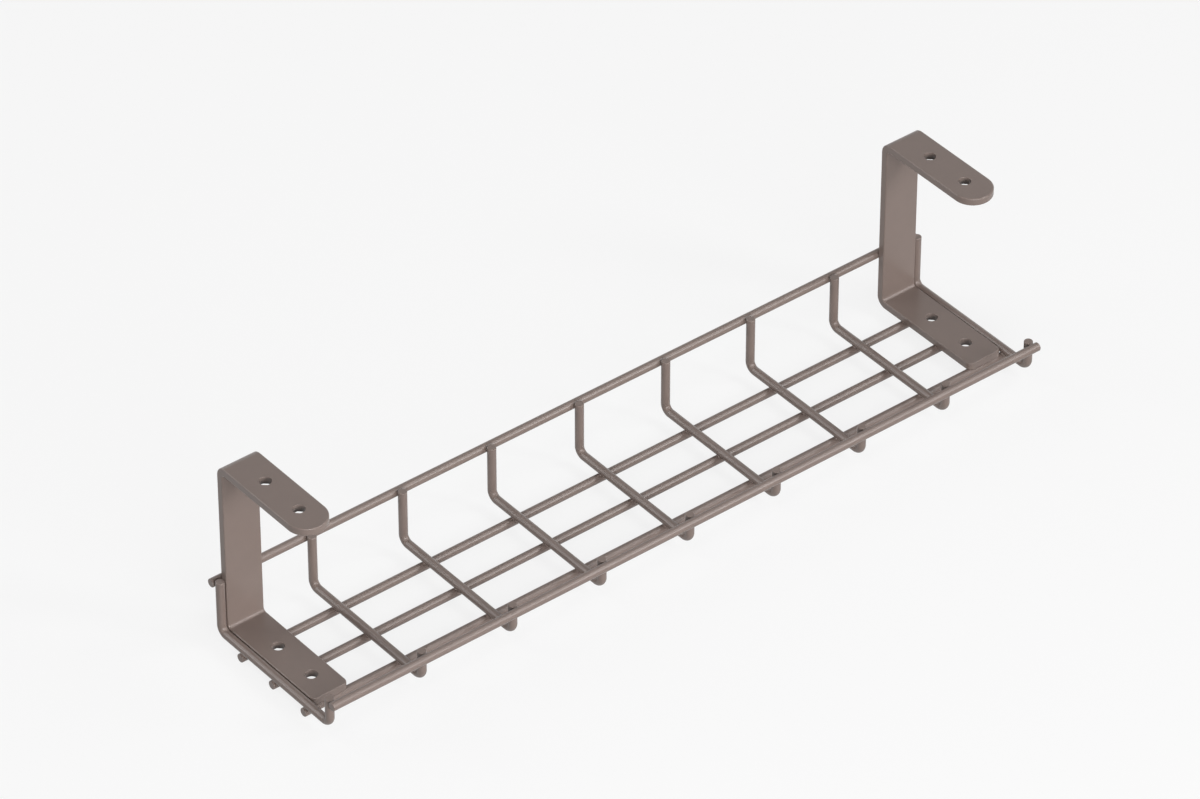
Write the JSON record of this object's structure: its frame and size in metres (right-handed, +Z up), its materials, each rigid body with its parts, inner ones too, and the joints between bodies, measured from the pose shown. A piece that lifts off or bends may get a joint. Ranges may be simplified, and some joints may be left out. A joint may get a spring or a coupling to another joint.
{
  "type": "under-desk wire cable tray",
  "caption": "Steel wire tray that carries cables under a table top, open at the front and ends, hung from C-shaped flat-bar brackets.",
  "frame": {"origin": "on the ground under the middle of the tray, which rests on its floor wires", "axes": "+X along the tray to the right bracket, -Y to the open front, +Z up"},
  "size_m": [0.5254, 0.119, 0.127],
  "materials": {
    "powder_coated_steel": "satin grey-beige powder coat"
  },
  "bodies": {
    "root": {"cross_wire_1": "powder_coated_steel", "cross_wire_2": "powder_coated_steel", "cross_wire_3": "powder_coated_steel", "cross_wire_4": "powder_coated_steel", "cross_wire_5": "powder_coated_steel", "cross_wire_6": "powder_coated_steel", "cross_wire_7": "powder_coated_steel", "cross_wire_8": "powder_coated_steel", "cross_wire_9": "powder_coated_steel", "floor_wire_1": "powder_coated_steel", "floor_wire_2": "powder_coated_steel", "floor_wire_3": "powder_coated_steel", "back_rail": "powder_coated_steel", "front_rail": "powder_coated_steel", "bracket_left": "powder_coated_steel", "bracket_right": "powder_coated_steel"}
  },
  "joints": []
}
